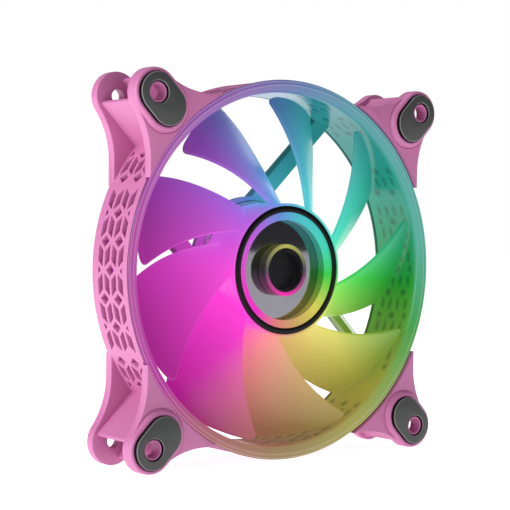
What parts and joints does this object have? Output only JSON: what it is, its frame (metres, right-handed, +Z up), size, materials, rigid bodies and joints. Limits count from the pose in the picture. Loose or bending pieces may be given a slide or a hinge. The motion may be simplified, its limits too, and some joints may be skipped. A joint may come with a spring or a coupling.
{
  "type": "case fan",
  "caption": "Computer case cooling fan: perforated frame with padded corner lugs, translucent duct, and a swept-blade rotor with an infinity-mirror hub that lights it in rainbow colours.",
  "frame": {"origin": "centre of the fan, on the rotor's axis, midway between the front and rear pads' faces", "axes": "+Y along the rotor's axis from the intake side to the strut side, +Z up, +X to the right seen from the intake side"},
  "size_m": [0.12, 0.0272, 0.12],
  "materials": {
    "frame_pink": "satin moulded plastic, dusty pink",
    "pad_rubber": "satin dark grey rubber",
    "duct_clear": "translucent polycarbonate, lit from the hub",
    "rotor_frost": "frosted translucent polycarbonate, lit in rainbow colours",
    "gloss_black": "gloss black",
    "smoked_mirror": "half-silvered smoked sheet",
    "light_diffuser": "milky light guide",
    "dark_mirror": "dark mirror coating",
    "plated_steel": "zinc-plated or ground steel",
    "lamination_steel": "stacked electrical steel sheets",
    "ferrite": "plastic-bonded ferrite magnet",
    "brass": "turned brass",
    "sintered_bronze": "oil-filled sintered bronze",
    "nylon": "natural nylon",
    "enamelled_copper": "enamelled copper winding",
    "board_lacquer": "green solder lacquer",
    "led_package": "white LED package",
    "chip_epoxy": "black moulded epoxy",
    "blank_sticker": "plain silver-grey film, blank"
  },
  "bodies": {
    "housing": {"frame": "frame_pink", "front_pad_top_right": "pad_rubber", "front_pad_bottom_right": "pad_rubber", "front_pad_bottom_left": "pad_rubber", "front_pad_top_left": "pad_rubber", "rear_pad_top_right": "pad_rubber", "rear_pad_bottom_right": "pad_rubber", "rear_pad_bottom_left": "pad_rubber", "rear_pad_top_left": "pad_rubber", "inner_duct": "duct_clear", "rear_label": "blank_sticker", "cable_grommet": "pad_rubber", "bearing_housing": "brass", "sleeve_bearing": "sintered_bronze", "oil_seal": "pad_rubber", "thrust_pad": "nylon", "stator_core": "lamination_steel", "stator_insulator_front": "nylon", "stator_insulator_rear": "nylon", "stator_coil_1": "enamelled_copper", "stator_coil_2": "enamelled_copper", "stator_coil_3": "enamelled_copper", "stator_coil_4": "enamelled_copper", "driver_board": "board_lacquer", "hall_sensor": "chip_epoxy", "driver_chip": "chip_epoxy", "filter_capacitor": "chip_epoxy", "hub_led_1": "led_package", "hub_led_2": "led_package", "hub_led_3": "led_package", "hub_led_4": "led_package", "hub_led_5": "led_package", "hub_led_6": "led_package", "hub_led_7": "led_package", "hub_led_8": "led_package"},
    "rotor": {"impeller": "rotor_frost", "bezel_ring": "gloss_black", "mirror_lens": "smoked_mirror", "light_ring": "light_diffuser", "back_mirror": "dark_mirror", "centre_tube": "light_diffuser", "centre_cup": "gloss_black", "rotor_yoke": "plated_steel", "ring_magnet": "ferrite", "shaft": "plated_steel", "shaft_insert": "brass", "retaining_clip": "nylon"}
  },
  "joints": [
    {"name": "rotor_spin", "type": "hinge", "parent": "housing", "child": "rotor", "pos_m": [0, 0, 0], "axis": [0, 1, 0], "continuous": true}
  ]
}
